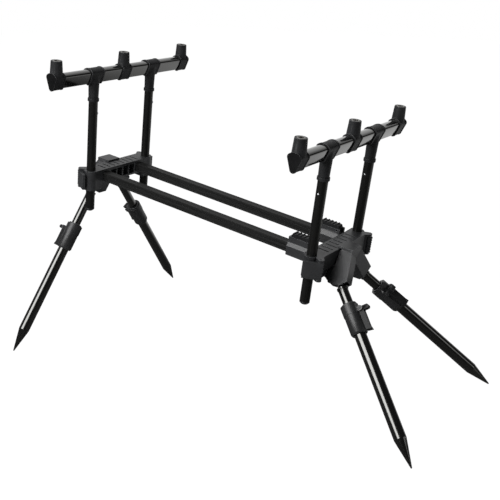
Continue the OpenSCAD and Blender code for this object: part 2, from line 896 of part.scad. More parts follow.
// Flat pocket in the barrel for the lever, with turning room for its cam and tab
module lever_room() {
    half = lever_width / 2 + swing_gap;
    room = lever_cam_r + swing_gap;
    reach = 20;
    translate([0, -lever_pin_y, lever_pin_z]) cross_cylinder(room, 2 * half);
    translate([-half, -lever_pin_y - reach, lever_pin_z])
        cube([2 * half, reach + lever_pin_y - lever_inner, leg_collar_length]);
    translate([-half, -lever_pin_y - reach, lever_pin_z - reach])
        cube([2 * half, reach + tab_half + swing_gap, reach]);
}

// Paddle down the collar, thumb tab standing out at the pin, flick at the free end
module lock_lever(e, s) {
    paddle_depth = 6.3;
    flick_out = 1.6;
    flick_drop = 1.5;
    flick_length = 5;
    neck_drop = 4;
    shoulder_drop = 6;
    end_gap = 2;
    tab_in = 1.5;
    inner = lever_inner + swing_gap;
    outer = leg_collar_r + paddle_depth;
    end = leg_collar_length - end_gap;
    tab_width = lever_width - 2 * tab_in;
    tab_y = tab_half - lever_pin_y - lever_tab;
    color(moulding) foot_frame(e, s) difference() {
        union() {
            translate([0, -lever_pin_y, lever_pin_z]) cross_cylinder(lever_cam_r, lever_width);
            cross_extrude(lever_width) polygon([
                [-lever_pin_y, lever_pin_z - 1], [-inner, lever_pin_z + neck_drop], [-inner, end],
                [-outer - flick_out, end + flick_drop], [-outer, end - flick_length],
                [-outer, lever_pin_z + shoulder_drop], [-lever_pin_y - lever_cam_r + arc_lap, lever_pin_z]
            ]);
            translate([0, tab_y, lever_pin_z]) cross_cylinder(tab_half, tab_width);
            translate([-tab_width / 2, tab_y, lever_pin_z - tab_half + arc_lap])
                cube([tab_width, lever_tab - tab_half, 2 * (tab_half - arc_lap)]);
        }
        translate([0, -lever_pin_y, lever_pin_z])
            cross_cylinder(lever_pin_r + pin_play, lever_width + 2 * cut);
    }
}

module lever_pin(e, s) {
    color(bright_steel) foot_frame(e, s)
        translate([0, -lever_pin_y, lever_pin_z]) cross_cylinder(lever_pin_r, 2 * ear_half);
}

module spike(e, s) {
    base = foot_length - spike_length;
    cone_end = foot_length - spike_tip_r;
    color(moulding) foot_frame(e, s) {
        translate([0, 0, base - spike_plug]) cylinder(r = outer_leg_bore_r - pin_play, h = spike_plug);
        translate([0, 0, base]) cylinder(r1 = outer_leg_r, r2 = spike_tip_r, h = cone_end - base);
        translate([0, 0, cone_end]) sphere(r = spike_tip_r);
    }
}

// Every sub-part, drawn by its node name

end_body(FAR, rail_size);  // far_body
end_body(NEAR, inner_rail);  // near_body
outer_rails();
inner_rails();
rail_collars();
rail_lever(LEFT);  // rail_lever_left
rail_lever(RIGHT);  // rail_lever_right
rail_lever_pins();
uprights(NEAR);  // near_uprights
uprights(FAR);  // far_uprights
upright_fittings(NEAR);  // near_upright_fittings
upright_fittings(FAR);  // far_upright_fittings
snap_button(NEAR, LEFT);  // near_left_button
snap_button(NEAR, RIGHT);  // near_right_button
snap_button(FAR, LEFT);  // far_left_button
snap_button(FAR, RIGHT);  // far_right_button
buzz_bar(NEAR);  // near_bar
buzz_bar(FAR);  // far_bar
end_posts(NEAR);  // near_end_posts
end_posts(FAR);  // far_end_posts
middle_post(NEAR);  // near_middle_post
middle_post(FAR);  // far_middle_post
tees(NEAR);  // near_tees
tees(FAR);  // far_tees
thread_inserts(NEAR);  // near_thread_inserts
thread_inserts(FAR);  // far_thread_inserts
clamp_lever(NEAR, LEFT);  // near_left_clamp_lever
clamp_lever(NEAR, RIGHT);  // near_right_clamp_lever
clamp_lever(FAR, LEFT);  // far_left_clamp_lever
clamp_lever(FAR, RIGHT);  // far_right_clamp_lever
hinge_pins(NEAR);  // near_hinge_pins
hinge_pins(FAR);  // far_hinge_pins
knuckle(NEAR, LEFT);  // near_left_knuckle
inner_tube(NEAR, LEFT);  // near_left_inner_tube
outer_tube(NEAR, LEFT);  // near_left_outer_tube
lock_collar(NEAR, LEFT);  // near_left_lock_collar
lock_lever(NEAR, LEFT);  // near_left_lock_lever
lever_pin(NEAR, LEFT);  // near_left_lever_pin
spike(NEAR, LEFT);  // near_left_spike
knuckle(NEAR, RIGHT);  // near_right_knuckle
inner_tube(NEAR, RIGHT);  // near_right_inner_tube
outer_tube(NEAR, RIGHT);  // near_right_outer_tube
lock_collar(NEAR, RIGHT);  // near_right_lock_collar
lock_lever(NEAR, RIGHT);  // near_right_lock_lever
lever_pin(NEAR, RIGHT);  // near_right_lever_pin
spike(NEAR, RIGHT);  // near_right_spike
knuckle(FAR, LEFT);  // far_left_knuckle
inner_tube(FAR, LEFT);  // far_left_inner_tube
outer_tube(FAR, LEFT);  // far_left_outer_tube
lock_collar(FAR, LEFT);  // far_left_lock_collar
lock_lever(FAR, LEFT);  // far_left_lock_lever
lever_pin(FAR, LEFT);  // far_left_lever_pin
spike(FAR, LEFT);  // far_left_spike
knuckle(FAR, RIGHT);  // far_right_knuckle
inner_tube(FAR, RIGHT);  // far_right_inner_tube
outer_tube(FAR, RIGHT);  // far_right_outer_tube
lock_collar(FAR, RIGHT);  // far_right_lock_collar
lock_lever(FAR, RIGHT);  // far_right_lock_lever
lever_pin(FAR, RIGHT);  // far_right_lever_pin
spike(FAR, RIGHT);  // far_right_spike
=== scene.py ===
"""Rod pod: edge-rounded pieces over the CAD frame, swept bars, thread turns, finishes and the studio."""
import itertools
import json
import math

import bmesh
import bpy
from mathutils import Euler, Matrix, Vector
from mathutils.kdtree import KDTree

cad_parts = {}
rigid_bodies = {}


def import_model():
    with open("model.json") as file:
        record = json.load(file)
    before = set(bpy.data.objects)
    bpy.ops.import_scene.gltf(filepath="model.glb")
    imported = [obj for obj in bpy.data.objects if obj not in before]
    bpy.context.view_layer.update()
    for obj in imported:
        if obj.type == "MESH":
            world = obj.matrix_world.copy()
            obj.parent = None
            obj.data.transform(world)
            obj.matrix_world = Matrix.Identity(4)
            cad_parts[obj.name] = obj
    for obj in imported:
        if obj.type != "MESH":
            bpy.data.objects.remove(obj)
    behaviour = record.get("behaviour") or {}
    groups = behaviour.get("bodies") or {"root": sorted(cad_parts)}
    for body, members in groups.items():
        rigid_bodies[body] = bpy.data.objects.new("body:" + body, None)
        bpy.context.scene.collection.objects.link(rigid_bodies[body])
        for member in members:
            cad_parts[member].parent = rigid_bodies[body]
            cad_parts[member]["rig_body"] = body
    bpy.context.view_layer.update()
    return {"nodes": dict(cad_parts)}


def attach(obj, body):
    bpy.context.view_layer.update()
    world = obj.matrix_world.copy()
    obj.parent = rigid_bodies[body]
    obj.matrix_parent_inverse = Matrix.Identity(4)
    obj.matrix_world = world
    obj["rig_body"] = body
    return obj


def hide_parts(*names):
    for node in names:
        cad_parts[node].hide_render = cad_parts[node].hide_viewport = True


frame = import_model()

MM = 0.001
ENDS = {"near": -1, "far": 1}
SIDES = ("left", "right")
LEGS = [f"{end}_{side}" for end in ENDS for side in SIDES]

# Pod frame: level layout of the part, turned by its pitch and lifted on its legs
POD_PITCH = math.radians(8.22497)
POD_SHIFT = Vector((0, 71.4769, 270.499)) * MM
POD = Matrix.Translation(POD_SHIFT) @ Matrix.Rotation(POD_PITCH, 4, "X")
END_SPACING = 468 * MM

# Buzz bars, in millimetres: section, lengths and levels in the pod frame
BAR_WIDTH = 18.5
BAR_DEPTH = 25
BAR_CROWN = 2.5
BAR_CORNER = 3
FLANK_MIDDLE = 8
FLANK_HALF = 9
FLANK_BULGE = 0.5
BAR_TO_POST_TOP = 27.3
POST_TOP = {"near": 211, "far": 218}
POST_PITCH = {"near": 150, "far": 156}
BAR_LENGTH = {"near": 318.4, "far": 330.4}

# Points on each round corner of the bar's section and around all of it, and the number of its crown corner
CORNER_POINTS = 12
SECTION_POINTS = 144
CROWN_CORNER = 3

# Threads of the posts on a bar, in millimetres, with the points on a turn and the sides of its ridge
POSTS = 3
INSERT_LENGTH = 17
THREAD_BORE_R = 4.2
THREAD_PITCH = 1.27
THREAD_RIDGE = 0.5
TURN_POINTS = 20
RIDGE_SIDES = 3

# Loose triangles of a CAD mesh join over this reach, and faces that turn less than this are one flat
MERGE_REACH = 0.001 * MM
FLAT_TURN = math.radians(0.4)

# Edges that turn more than this are creases
STEEP = math.radians(32)
BODY_STEEP = math.radians(15.5)

# Outer creases are rounded, over a share of the way to the next crease on the same face at most.
# That crease lies inward by at least one part of its distance, and off the face by less than the other
ROUND_SEGMENTS = 2
ROUND_SHARE = 0.42
INWARD_PART = 0.5
OFF_FACE_PART = 0.2

# Edges run on when the cosine between them is below this.
# Each edge takes just under half of a corner's bend
RUN_ON = -0.7
BEND_SHARE = 0.49

# A rounded skin that turns this far back has folded, where the fold is wide enough to count. One of more
# rounding widths than this is an acute edge of the shape itself. The folds are taken out in a few rounds
FOLD_TURN = math.radians(150)
FOLD_LEAST = 0.004 * MM
FOLD_WIDTHS = 3
FOLD_ROUNDS = 6

# Outer faces of the bars' end caps, darkened as painted shade: the least cosine to the bar, and the least
# area in square metres
CAP_FACING = 0.98
CAP_FACE_AREA = 1e-4

# Camera at the photograph's place
CAMERA_AT = (-1.07754, -0.77157, 0.66999)
CAMERA_TURN = (70.6722, 0.4356, -54.4269)
CAMERA_LENS = 59.517
CAMERA_SENSOR = 36
CAMERA_CLIP = (0.01, 50)

# What mirror rays meet: bright to one side, and the dim room on the other
ROOM_DARK = 0.04
WORLD_BACKDROP = {"side": (0.70, 0.60, 0.39), "low": 0.45, "high": 0.85, "bright": 0.9}
FLOOR_BACKDROP = {"side": (0.95, -0.3, 0), "low": 0.15, "high": 0.75, "bright": 0.8}

# Studio: soft light from all round, the floor, and the softboxes
SOFT_LEVEL = 0.10
FLOOR_HALF = 6.0
FLOOR_GREY = 0.78
FLOOR_WHITE = 1.085
FLOOR_GLOW = 0.92
LIGHT_AIM = (0, 0, 0.25)
SOFTBOXES = {
    "top_box": {"at": (-0.3, 0.35, 2.0), "width": 1.2, "height": 1.2, "power": 4.5},
    "left_box": {"at": (-1.45, 0.32, 1.30), "width": 1.4, "height": 1.3, "power": 40},
    "front_box": {"at": (0.3, -1.75, 0.72), "width": 0.5, "height": 0.5, "power": 0.9},
}

# Sheen of the metal pieces
WARM_SHEEN = (1.0, 1.0, 0.92, 1)

# Green of a bluish grey, as a share of its blue
GREEN_SHARE = 0.3

# Share and tone of the scuffs and the dust on the finishes
SCUFF_SHARE = 0.15
SCUFF_TONE = 3
DUST_SHARE = 0.12
DUST_GREY = 0.04

# Lacquer: its clear coat
COAT_ROUGH = 0.06
COAT_IOR = 1.75

# Drawn lines: noise scale across and along them, and the tone of the pale ones
LINES_ACROSS = 900.0
LINES_ALONG = 9.0
LINE_TONE = 1.7

# Tone of the turning marks on bare metal
MARK_TONE = 0.72

# Colour sockets of the Mix node
MIX_FACTOR, MIX_FIRST, MIX_SECOND, MIX_RESULT = 0, 6, 7, 2


class Wire:
    """A node socket with arithmetic: an expression on values adds its Math nodes."""

    def __init__(self, tree, socket=None):
        self.tree = tree
        self.socket = socket

    def node(self, kind, settings=None, inputs=None, output=0):
        """Add a node: settings first, then the values or links of its sockets."""
        made = self.tree.nodes.new(kind)
        for name, value in (settings or {}).items():
            setattr(made, name, value)
        for name, value in (inputs or {}).items():
            if isinstance(value, Wire):
                self.tree.links.new(value.socket, made.inputs[name])
            else:
                made.inputs[name].default_value = value
        return Wire(self.tree, made.outputs[output])

    def maths(self, operation, *values, clamp=False):
        inputs = dict(enumerate(values))
        return self.node("ShaderNodeMath", {"operation": operation, "use_clamp": clamp}, inputs)

    def __add__(self, other):
        return self.maths("ADD", self, other)

    def __sub__(self, other):
        return self.maths("SUBTRACT", self, other)

    def __rsub__(self, other):
        return self.maths("SUBTRACT", other, self)

    def __mul__(self, other):
        return self.maths("MULTIPLY", self, other)

    __radd__ = __add__
    __rmul__ = __mul__

    def step(self, low, high):
        """0 below low, 1 above high, smooth between."""
        return self.node("ShaderNodeMapRange", {"interpolation_type": "SMOOTHSTEP"},
                         {"Value": self, "From Min": low, "From Max": high})

    def spread(self, amount):
        """This noise as an amount about its middle."""
        return amount * (self - 0.5)

    def blend(self, first, second):
        """Colour mix of two colours by this value."""
        inputs = {MIX_FACTOR: self, MIX_FIRST: first, MIX_SECOND: second}
        return self.node("ShaderNodeMix", {"data_type": "RGBA"}, inputs, MIX_RESULT)

    def noise(self, scale, detail, rough=0.5):
        """Noise at this place."""
        return self.node("ShaderNodeTexNoise", {}, {
            "Vector": self, "Scale": scale, "Detail": detail, "Roughness": rough})

    def mapped(self, **changes):
        """This place, turned or stretched."""
        return self.node("ShaderNodeMapping", {}, {"Vector": self, **changes})

    def to(self, socket):
        self.tree.links.new(self.socket, socket)


def grey(level, blue=0.0):
    """Neutral colour, or a slightly blue one."""
    return (level, level * (1 + GREEN_SHARE * blue), level * (1 + blue), 1)


def new_finish(name):
    """Material with its shader, and a wire for the place on the piece in the part's frame."""
    material = bpy.data.materials.new(name)
    material.use_nodes = True
    tree = material.node_tree
    return material, tree.nodes["Principled BSDF"], Wire(tree).node("ShaderNodeTexCoord", output="Object")


def bump(shader, height, distance):
    height.node("ShaderNodeBump", {}, {
        "Height": height, "Distance": distance, "Strength": 1.0}).to(shader.inputs["Normal"])


def moulded(name, dark, light, rough, grain, gloss=0.3, blue=0.08):
    """Moulded plastic: fine eroded grain, cloudy tone and a few pale scuffs."""
    material, shader, place = new_finish(name)
    cloud = place.noise(scale=26, detail=3)
    fine = place.noise(scale=1500, detail=2, rough=0.6)
    marks = place.noise(scale=210, detail=4, rough=0.7)
    scuff = marks.step(0.66, 0.78) * cloud.step(0.5, 0.7) * SCUFF_SHARE
    tone = cloud.step(0.3, 0.7).blend(grey(dark, blue), grey(light, blue))
    scuff.blend(tone, grey(SCUFF_TONE * light, blue)).to(shader.inputs["Base Color"])
    (rough + cloud.spread(0.16) + fine.spread(0.12) + 0.1 * scuff).to(shader.inputs["Roughness"])
    bump(shader, fine, grain)
    shader.inputs["Specular IOR Level"].default_value = gloss
    return material


def lacquered(name, base, rough, peel, coat):
    """Glossy black coat with slight orange peel and faint dust."""
    material, shader, place = new_finish(name)
    cloud = place.noise(scale=14, detail=3)
    dust = place.noise(scale=900, detail=3, rough=0.7).step(0.63, 0.75)
    (dust * DUST_SHARE).blend(grey(base), grey(DUST_GREY)).to(shader.inputs["Base Color"])
    (rough + 0.06 * cloud + 0.06 * dust * cloud).to(shader.inputs["Roughness"])
    bump(shader, place.noise(scale=240, detail=1), peel)
    shader.inputs["Coat Weight"].default_value = coat
    shader.inputs["Coat Roughness"].default_value = COAT_ROUGH
    shader.inputs["Coat IOR"].default_value = COAT_IOR
    shader.inputs["Specular Tint"].default_value = WARM_SHEEN
    return material


def drawn(name, base, rough, gloss, along, depth):
    """Satin anodised extrusion with fine lines drawn along one axis of the pod."""
    material, shader, place = new_finish(name)
    stretch = [LINES_ALONG if axis == along else LINES_ACROSS for axis in "XYZ"]
    level = place.mapped(Rotation=(-POD_PITCH, 0, 0))
    lines = level.mapped(Scale=stretch).noise(scale=1, detail=2, rough=0.6)
    cloud = place.noise(scale=20, detail=2)
    lines.step(0.3, 0.7).blend(grey(base), grey(LINE_TONE * base)).to(shader.inputs["Base Color"])
    (rough + lines.spread(0.14) + cloud.spread(0.1)).to(shader.inputs["Roughness"])
    bump(shader, lines, depth)
    shader.inputs["Specular IOR Level"].default_value = gloss
    shader.inputs["Specular Tint"].default_value = WARM_SHEEN
    return material


def metal(name, colour, rough):
    """Bare bright metal with small turning marks."""
    material, shader, place = new_finish(name)
    marks = place.noise(scale=1100, detail=3, rough=0.6)
    dulled = [MARK_TONE * part for part in colour]
    marks.step(0.35, 0.75).blend((*colour, 1), (*dulled, 1)).to(shader.inputs["Base Color"])
    (rough + marks.spread(0.16)).to(shader.inputs["Roughness"])
    shader.inputs["Metallic"].default_value = 1.0
    return material


FINISHES = {
    "body": moulded("body_moulding", dark=0.017, light=0.026, rough=0.42, grain=0.08 * MM,
                    gloss=0.42, blue=0.10),
    # Lighter copy for the rounded body and collar edges: a painted edge highlight, with some edge wear
    "body_edge_highlight_and_wear": moulded("body_moulding_edge_highlight_and_wear", dark=0.080, light=0.115, rough=0.36, grain=0.04 * MM,
                         gloss=0.5),
    "collar": moulded("collar_moulding", dark=0.018, light=0.027, rough=0.42, grain=0.08 * MM,
                      gloss=0.5, blue=0.10),
    "lock": moulded("lock_moulding", dark=0.015, light=0.023, rough=0.38, grain=0.06 * MM,
                    gloss=0.45, blue=0.06),
    "satin": moulded("satin_moulding", dark=0.014, light=0.023, rough=0.50, grain=0.07 * MM,
                     gloss=0.14),
    # Lighter copy for the rounded edges: a painted edge highlight, with some edge wear
    "satin_edge_highlight_and_wear": moulded("satin_moulding_edge_highlight_and_wear", dark=0.030, light=0.044, rough=0.32, grain=0.02 * MM,
                          gloss=0.45),
    # Darker, smoother copy for the bars' outer cap faces: the darker colour is painted shade
    "cap_face_shade": moulded("cap_face_shade_moulding", dark=0.004, light=0.006, rough=0.34, grain=0.02 * MM,
                        gloss=0.25),
    "paddle": moulded("paddle_moulding", dark=0.025, light=0.033, rough=0.45, grain=0.05 * MM),
    # Lighter copy for the rounded paddle edges: a painted edge highlight, with some edge wear
    "paddle_edge_highlight_and_wear": moulded("paddle_moulding_edge_highlight_and_wear", dark=0.055, light=0.075, rough=0.34, grain=0.02 * MM,
                           gloss=0.45),
    "lever": moulded("lever_moulding", dark=0.009, light=0.013, rough=0.45, grain=0.04 * MM,
                     gloss=0.2),
    # Lighter copy for the rounded lever edges: a painted edge highlight, with some edge wear
    "lever_edge_highlight_and_wear": moulded("lever_moulding_edge_highlight_and_wear", dark=0.030, light=0.044, rough=0.34, grain=0.02 * MM,
                          gloss=0.4),
    "bar_gloss": lacquered("bar_lacquer", base=0.0035, rough=0.10, peel=0.002 * MM, coat=0.8),
    "leg_gloss": lacquered("leg_lacquer", base=0.0020, rough=0.21, peel=0.0005 * MM, coat=0.8),
    "spike_gloss": lacquered("spike_moulding", base=0.0030, rough=0.20, peel=0.001 * MM, coat=0.6),
    "upright": drawn("upright_anodising", base=0.0045, rough=0.34, gloss=0.30, along="Z", depth=0.005 * MM),
    "rail": drawn("rail_anodising", base=0.0105, rough=0.45, gloss=0.05, along="Y", depth=0.003 * MM),
    # Lighter copy for the rounded rail edges: a painted edge highlight, with some edge wear
    "rail_edge_highlight_and_wear": drawn("rail_anodising_edge_highlight_and_wear", base=0.034, rough=0.50, gloss=0.12, along="Y",
                       depth=0.002 * MM),
    "steel": metal("bright_steel", (0.42, 0.43, 0.44), rough=0.34),
    "nickel": metal("plated_insert", (0.20, 0.195, 0.18), rough=0.36),
    "black_steel": metal("blackened_steel", (0.030, 0.030, 0.032), rough=0.36),
}


def new_object(name, data):
    """Object in the scene."""
    made = bpy.data.objects.new(name, data)
    bpy.context.scene.collection.objects.link(made)
    return made


def points_along(edge, step):
    """Points spread over an edge, about a step apart."""
    first, last = edge.verts[0].co, edge.verts[1].co
    count = max(2, math.ceil(edge.calc_length() / step))
    return [first.lerp(last, (i + 0.5) / count) for i in range(count)]


def search_tree(places):
    tree = KDTree(len(places))
    for number, place in enumerate(places):
        tree.insert(place, number)
    tree.balance()
    return tree


def corner_room(loop, sharp):
    """Rounding width at which an edge would shrink to nothing between its two corners on a face."""
    way = (loop.link_loop_next.vert.co - loop.vert.co).normalized()
    closing = 0.0
    for other, turn in ((loop.link_loop_prev, 1), (loop.link_loop_next, -1)):
        if other.edge in sharp:
            other_way = (other.link_loop_next.vert.co - other.vert.co).normalized()
            bend = turn * math.atan2(loop.face.normal.dot(other_way.cross(way)), other_way.dot(way))
            closing += max(0.0, math.tan(BEND_SHARE * bend))
    return loop.edge.calc_length() / closing if closing else math.inf


def edge_chains(sharp):
    """Sharp edges in runs that go on nearly straight, such as the pieces of an arc."""
    chain = {edge: [edge] for edge in sharp}
    for vert in {vert for edge in sharp for vert in edge.verts}:
        ends = [(edge, (edge.other_vert(vert).co - vert.co).normalized())
                for edge in vert.link_edges if edge in sharp]
        for (first, way), (second, other_way) in itertools.combinations(ends, 2):
            if way.dot(other_way) < RUN_ON and chain[first] is not chain[second]:
                joined = chain[first] + chain[second]
                for edge in joined:
                    chain[edge] = joined
    return list({id(run): run for run in chain.values()}.values())


def edge_room(edge, width, sharp, near):
    """Widest rounding, up to a width, that leaves an edge clear of the next creases across its faces."""
    room = width
    for loop in edge.link_loops:
        room = min(room, ROUND_SHARE * 2 * corner_room(loop, sharp))
        normal = loop.face.normal
        inward = normal.cross(loop.link_loop_next.vert.co - loop.vert.co).normalized()
        for place in points_along(edge, width):
            for other, _, away in near.find_range(place, width / ROUND_SHARE):
                offset = other - place
                on_face = abs(offset.dot(normal)) < OFF_FACE_PART * away
                if on_face and offset.dot(inward) > INWARD_PART * away:
                    room = min(room, ROUND_SHARE * away)
    return room


def weigh_edges(shell, width, steep):
    """Give each run of sharp outer edges its share of a rounding width."""
    share = shell.edges.layers.float.new("bevel_weight_edge")
    creases = [edge for edge in shell.edges if edge.calc_face_angle() > steep]
    sharp = {edge for edge in creases if edge.is_convex}
    near = search_tree([place for edge in creases for place in points_along(edge, width)])
    for run in edge_chains(sharp):
        room = min(edge_room(edge, width, sharp, near) for edge in run)
        for edge in run:
            edge[share] = room / width


def merged_copy(node, width, steep):
    """Mesh of a CAD node with its loose triangles joined, its flats whole and its sharp edges weighed."""
    shell = bmesh.new()
    shell.from_mesh(frame["nodes"][node].data)
    bmesh.ops.remove_doubles(shell, verts=shell.verts, dist=MERGE_REACH)
    bmesh.ops.dissolve_limit(shell, angle_limit=FLAT_TURN, use_dissolve_boundaries=False,
                             verts=shell.verts, edges=shell.edges)
    if width:
        weigh_edges(shell, width, steep)
    mesh = bpy.data.meshes.new(node)
    shell.to_mesh(mesh)
    shell.free()
    return mesh


def fold_places(piece, width):
    """Points along the edges where the rounded skin of a piece turns back on itself."""
    shell = bmesh.new()
    shell.from_object(piece, bpy.context.evaluated_depsgraph_get())
    bmesh.ops.triangulate(shell, faces=shell.faces)
    places = []
    for edge in shell.edges:
        length = edge.calc_length()
        if len(edge.link_faces) == 2 and length > FOLD_LEAST and edge.calc_face_angle() > FOLD_TURN:
            across = 2 * min(face.calc_area() for face in edge.link_faces) / length
            if FOLD_LEAST < across < FOLD_WIDTHS * width:
                places += points_along(edge, width)
    shell.free()
    return places


def unfold(piece, width):
    """Take the rounding off the edges at which it folds."""
    mesh = piece.data
    share = mesh.attributes["bevel_weight_edge"].data
    for _ in range(FOLD_ROUNDS):
        places = fold_places(piece, width)
        if not places:
            return
        near = search_tree(places)
        for edge in mesh.edges:
            first, last = [mesh.vertices[corner].co for corner in edge.vertices]
            count = math.ceil((last - first).length / width) + 1
            if any(near.find(first.lerp(last, i / count))[2] < width for i in range(count + 1)):
                share[edge.index].value = 0
        mesh.update()


def round_edges(piece, width):
    """Round the weighed edges of a piece, in the last of its finishes, whose lighter colour paints a
    highlight and some wear on the rounds.
    """
    rounding = piece.modifiers.new("edges", "BEVEL")
    rounding.width = width
    rounding.segments = ROUND_SEGMENTS
    rounding.limit_method = "WEIGHT"
    rounding.use_clamp_overlap = False
    rounding.miter_outer = "MITER_ARC"
    # The rounds take the last finish: a painted edge highlight, with some edge wear
    rounding.material = len(piece.data.materials) - 1
    rounding.harden_normals = True
    unfold(piece, width)


def dress(node, finish, edge_width, edge_highlight_and_wear=None, steep=STEEP):
    """Copy of a CAD node that stands for it, with its edges rounded over a width in millimetres."""
    piece = new_object(node + "_piece", merged_copy(node, edge_width * MM, steep))
    mesh = piece.data
    mesh.materials.append(FINISHES[finish])
    # Second slot: the edge finish, lighter as a painted edge highlight with some edge wear
    mesh.materials.append(FINISHES[edge_highlight_and_wear or finish])
    for face in mesh.polygons:
        face.use_smooth = True
    mesh.set_sharp_from_angle(angle=steep)
    if edge_width:
        round_edges(piece, edge_width * MM)
    body = frame["nodes"][node]["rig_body"]
    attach(piece, body)
    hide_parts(node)
    return piece


def shade_cap_faces(piece):
    """Smoother, darker black on the flat outer faces of the bar's end caps: the darker colour is painted
    shade.
    """
    mesh = piece.data
    mesh.materials.append(FINISHES["cap_face_shade"])
    for face in mesh.polygons:
        if abs(face.normal.x) > CAP_FACING and face.area > CAP_FACE_AREA:
            face.material_index = len(mesh.materials) - 1


def dress_all():
    for end in ENDS:
        # Edge finishes paint a highlight, with some wear, on the rounded edges
        dress(f"{end}_body", "body", edge_width=0.8, edge_highlight_and_wear="body_edge_highlight_and_wear",
              steep=BODY_STEEP)
        dress(f"{end}_uprights", "upright", edge_width=0)
        dress(f"{end}_upright_fittings", "satin", edge_width=0.3, edge_highlight_and_wear="satin_edge_highlight_and_wear")
        # Outer cap faces darkened as painted shade
        shade_cap_faces(
            dress(f"{end}_end_posts", "satin", edge_width=0.5, edge_highlight_and_wear="satin_edge_highlight_and_wear"))
        dress(f"{end}_middle_post", "satin", edge_width=0.4, edge_highlight_and_wear="satin_edge_highlight_and_wear")
        dress(f"{end}_tees", "satin", edge_width=0.4, edge_highlight_and_wear="satin_edge_highlight_and_wear")
        dress(f"{end}_thread_inserts", "nickel", edge_width=0.2)
        dress(f"{end}_hinge_pins", "black_steel", edge_width=0.2)
    dress("outer_rails", "rail", edge_width=0.3, edge_highlight_and_wear="rail_edge_highlight_and_wear")
    dress("inner_rails", "rail", edge_width=0.3)
    dress("rail_collars", "collar", edge_width=0.5, edge_highlight_and_wear="body_edge_highlight_and_wear")
    dress("rail_lever_pins", "black_steel", edge_width=0.2)
    for side in SIDES:
        dress(f"rail_lever_{side}", "lever", edge_width=0.4, edge_highlight_and_wear="lever_edge_highlight_and_wear")
    for leg in LEGS:
        dress(f"{leg}_button", "steel", edge_width=0.1)
        dress(f"{leg}_clamp_lever", "paddle", edge_width=0.4, edge_highlight_and_wear="paddle_edge_highlight_and_wear")
        dress(f"{leg}_knuckle", "leg_gloss", edge_width=0.4)
        dress(f"{leg}_inner_tube", "leg_gloss", edge_width=0.1)
        dress(f"{leg}_outer_tube", "leg_gloss", edge_width=0.1)
        dress(f"{leg}_lock_collar", "lock", edge_width=0.5, edge_highlight_and_wear="body_edge_highlight_and_wear")
        dress(f"{leg}_lock_lever", "lever", edge_width=0.5, edge_highlight_and_wear="lever_edge_highlight_and_wear")
        dress(f"{leg}_lever_pin", "black_steel", edge_width=0.2)
        dress(f"{leg}_spike", "spike_gloss", edge_width=0)


SIZE_SOCKETS = {"length": "NodeSocketFloat", "point": "NodeSocketVector", "count": "NodeSocketInt",
                "finish": "NodeSocketMaterial"}


def new_maker(name, inputs):
    """Geometry tree with its named inputs as wires, and the socket its shape goes to."""
    tree = bpy.data.node_groups.new(name, "GeometryNodeTree")
    for label, kind in inputs.items():
        tree.interface.new_socket(label, in_out="INPUT", socket_type=SIZE_SOCKETS[kind])
    tree.interface.new_socket("Shape", in_out="OUTPUT", socket_type="NodeSocketGeometry")
    given = tree.nodes.new("NodeGroupInput")
    wires = {label: Wire(tree, given.outputs[label]) for label in inputs}
    return tree, wires, tree.nodes.new("NodeGroupOutput").inputs["Shape"]


def close_maker(shape, finish, end):
    whole = shape.node("GeometryNodeRealizeInstances", {}, {"Geometry": shape})
    whole.node("GeometryNodeSetMaterial", {}, {"Geometry": whole, "Material": finish}).to(end)


def along_x(wire, value):
    """Vector of a length along X."""
    return wire.node("ShaderNodeCombineXYZ", {}, {"X": value})


def swept_bar_maker():
    """Bar of a four-cornered section with round corners and a wide round crown, drawn along X."""
    tree, size, end = new_maker("swept_bar", {
        "Length": "length",
        "Left shoulder": "point", "Keel": "point", "Right shoulder": "point", "Crown": "point",
        "Corner radius": "length", "Crown radius": "length",
        "Flank middle": "length", "Flank half": "length", "Flank bulge": "length",
        "Finish": "finish"})
    wire = Wire(tree)
    section = wire.node("GeometryNodeCurvePrimitiveQuadrilateral", {"mode": "POINTS"}, {
        "Point 1": size["Left shoulder"], "Point 2": size["Keel"],
        "Point 3": size["Right shoulder"], "Point 4": size["Crown"]})
    at_crown = wire.maths("GREATER_THAN", wire.node("GeometryNodeInputIndex"), CROWN_CORNER - 0.5)
    radius = size["Corner radius"] + at_crown * (size["Crown radius"] - size["Corner radius"])
    rounded = wire.node("GeometryNodeFilletCurve", {"mode": "POLY"}, {
        "Curve": section, "Count": CORNER_POINTS, "Radius": radius})
    fine = wire.node("GeometryNodeResampleCurve", {}, {"Curve": rounded, "Count": SECTION_POINTS})
    place = wire.node("GeometryNodeInputPosition")
    across, along = [wire.node("ShaderNodeSeparateXYZ", {}, {"Vector": place}, axis) for axis in "XY"]
    off_middle = wire.maths("DIVIDE", along - size["Flank middle"], size["Flank half"])
    swell = wire.maths("SUBTRACT", 1.0, off_middle * off_middle, clamp=True) * size["Flank bulge"]
    swollen = wire.node("GeometryNodeSetPosition", {}, {
        "Geometry": fine, "Offset": along_x(wire, wire.maths("SIGN", across) * swell)})
    half = size["Length"] * 0.5
    line = wire.node("GeometryNodeCurvePrimitiveLine", {}, {
        "Start": along_x(wire, half * -1.0), "End": along_x(wire, half)})
    swept = wire.node("GeometryNodeCurveToMesh", {}, {
        "Curve": line, "Profile Curve": swollen, "Fill Caps": True})
    close_maker(swept, size["Finish"], end)
    return tree


